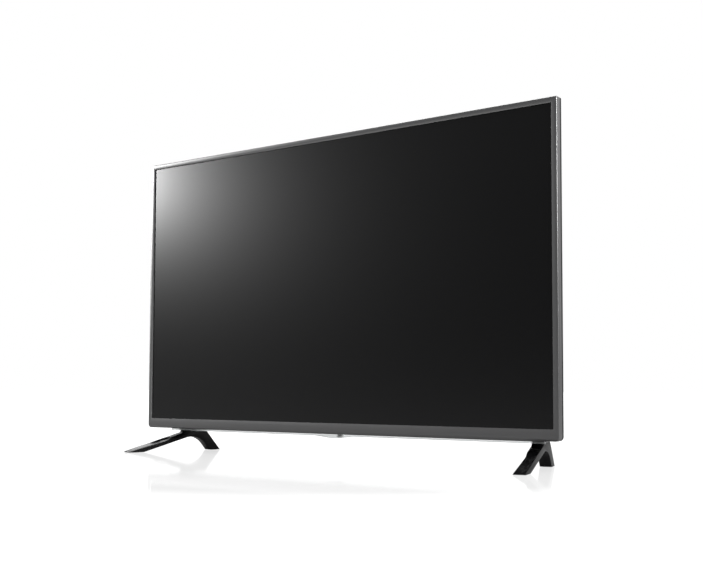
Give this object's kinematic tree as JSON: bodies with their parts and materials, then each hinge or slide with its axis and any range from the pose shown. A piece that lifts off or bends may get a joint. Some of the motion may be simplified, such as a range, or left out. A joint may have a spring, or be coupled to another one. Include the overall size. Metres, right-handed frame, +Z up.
{
  "type": "flat screen television",
  "caption": "Wide flat-panel television with a slim dark frame, a stepped black back with connector bays, and splayed boomerang feet; a small joystick is under the middle.",
  "frame": {"origin": "on the floor at the middle of the footprint", "axes": "+X to the viewer's right, +Y from the viewer into the set, +Z up"},
  "size_m": [1.106, 0.2442, 0.7014],
  "materials": {
    "bezel_satin": "satin",
    "cover_black": "fine moulded texture",
    "foot_gloss": "gloss black",
    "pad_rubber": "matte",
    "zinc_steel": "zinc plated",
    "screw_black": "black oxide",
    "panel_glass": "polished",
    "polariser_film": "anti-glare satin",
    "clear_plastic": "clear moulded",
    "white_plastic": "matte white",
    "board_green": "solder mask",
    "board_white": "white solder mask",
    "chip_black": "moulded",
    "alloy": "extruded",
    "ferrite": "matte",
    "flex_amber": "polyimide film",
    "lead_black": "satin",
    "gold_plate": "plated",
    "nylon": "moulded"
  },
  "bodies": {
    "tv": {"audio_sockets": "cover_black", "av_sockets": "gold_plate", "back_cover": "cover_black", "board_screws": "zinc_steel", "cable_holder": "cover_black", "clear_trim": "clear_plastic", "cover_screws": "screw_black", "diffuser_plate": "white_plastic", "diffuser_supports": "white_plastic", "driver_films": "flex_amber", "foot_brackets": "zinc_steel", "foot_pads": "pad_rubber", "foot_screws": "screw_black", "front_bezel": "bezel_satin", "hdmi_sockets": "zinc_steel", "jack_plates": "screw_black", "joystick_housing": "cover_black", "lcd_glass": "panel_glass", "left_foot": "foot_gloss", "left_speaker_box": "cover_black", "lens_caps": "clear_plastic", "light_bars": "board_white", "light_chips": "white_plastic", "main_board": "board_green", "main_chips": "chip_black", "mains_filter": "chip_black", "mains_inlet": "cover_black", "middle_frame": "cover_black", "network_socket": "cover_black", "optical_sheets": "white_plastic", "polarisers": "polariser_film", "power_board": "board_green", "power_capacitors": "chip_black", "power_heatsinks": "alloy", "power_leads": "lead_black", "power_light": "chip_black", "power_transformers": "ferrite", "processor_heatsink": "alloy", "rear_chassis": "zinc_steel", "reflector_sheet": "white_plastic", "remote_receiver": "chip_black", "ribbons": "flex_amber", "right_foot": "foot_gloss", "right_speaker_box": "cover_black", "screen_gasket": "cover_black", "sensor_board": "board_green", "signal_leads": "lead_black", "source_boards": "board_green", "speaker_bushes": "pad_rubber", "speaker_drivers": "alloy", "timing_board": "board_green", "timing_shield": "zinc_steel", "tuner": "zinc_steel", "usb_socket": "zinc_steel", "wall_mount_inserts": "zinc_steel", "wire_plugs": "white_plastic"},
    "joystick_gimbal_body": {"joystick_gimbal": "nylon"},
    "joystick_stem_body": {"joystick_stem": "nylon"},
    "joystick_cap_body": {"joystick_cap": "cover_black"}
  },
  "joints": [
    {"name": "joystick_tilt_fore_aft", "type": "hinge", "parent": "tv", "child": "joystick_gimbal_body", "pos_m": [0, 0.03055, 0.061], "axis": [1, 0, 0], "range_deg": [-6, 6], "stiffness_Nm_per_rad": 0.03},
    {"name": "joystick_tilt_sideways", "type": "hinge", "parent": "joystick_gimbal_body", "child": "joystick_stem_body", "pos_m": [0, 0.03055, 0.061], "axis": [0, 1, 0], "range_deg": [-6, 6], "stiffness_Nm_per_rad": 0.03},
    {"name": "joystick_press", "type": "slide", "parent": "joystick_stem_body", "child": "joystick_cap_body", "axis": [0, 0, 1], "range_m": [0, 0.0006], "stiffness_N_per_m": 1000}
  ]
}
